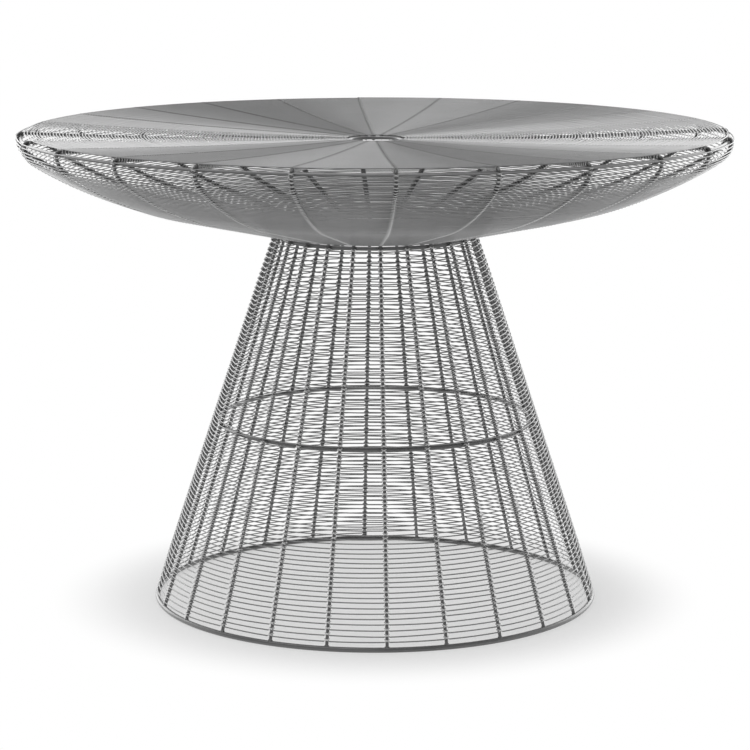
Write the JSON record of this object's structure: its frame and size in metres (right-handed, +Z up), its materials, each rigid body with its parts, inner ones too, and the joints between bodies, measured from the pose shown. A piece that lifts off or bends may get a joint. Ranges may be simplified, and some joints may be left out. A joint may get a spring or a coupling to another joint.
{
  "type": "wire coffee table",
  "caption": "Round garden coffee table of wound wire: an open cone on a floor ring carries a lens-shaped top with a dished face, a rounded rim and a small centre hole.",
  "frame": {"origin": "on the floor under the middle of the table, in the plane of the floor ring's underside", "axes": "+Z up along the table's axis, -Y towards the front, which is the side that the picture shows"},
  "size_m": [0.6999, 0.7001, 0.4681],
  "materials": {
    "rod": "satin grey powder coat on steel rod",
    "wire": "satin grey powder coat on steel wire"
  },
  "bodies": {
    "root": {"floor_ring": "rod", "mid_ring": "rod", "neck_ring": "rod", "rim_hoop": "rod", "centre_ring": "rod", "base_winding_lower": "wire", "base_winding_upper": "wire", "face_winding_inner": "wire", "face_winding_middle": "wire", "face_winding_outer": "wire", "bowl_winding_outer": "wire", "bowl_winding_inner": "wire", "base_rib_01": "rod", "base_rib_02": "rod", "base_rib_03": "rod", "base_rib_04": "rod", "base_rib_05": "rod", "base_rib_06": "rod", "base_rib_07": "rod", "base_rib_08": "rod", "base_rib_09": "rod", "base_rib_10": "rod", "base_rib_11": "rod", "base_rib_12": "rod", "base_rib_13": "rod", "base_rib_14": "rod", "base_rib_15": "rod", "base_rib_16": "rod", "base_rib_17": "rod", "base_rib_18": "rod", "base_rib_19": "rod", "base_rib_20": "rod", "base_rib_21": "rod", "base_rib_22": "rod", "base_rib_23": "rod", "base_rib_24": "rod", "top_rib_01": "rod", "top_rib_02": "rod", "top_rib_03": "rod", "top_rib_04": "rod", "top_rib_05": "rod", "top_rib_06": "rod", "top_rib_07": "rod", "top_rib_08": "rod", "top_rib_09": "rod", "top_rib_10": "rod", "top_rib_11": "rod", "top_rib_12": "rod", "top_rib_13": "rod", "top_rib_14": "rod", "top_rib_15": "rod", "top_rib_16": "rod", "top_rib_17": "rod", "top_rib_18": "rod", "top_rib_19": "rod", "top_rib_20": "rod", "top_rib_21": "rod", "top_rib_22": "rod", "top_rib_23": "rod", "top_rib_24": "rod"}
  },
  "joints": []
}
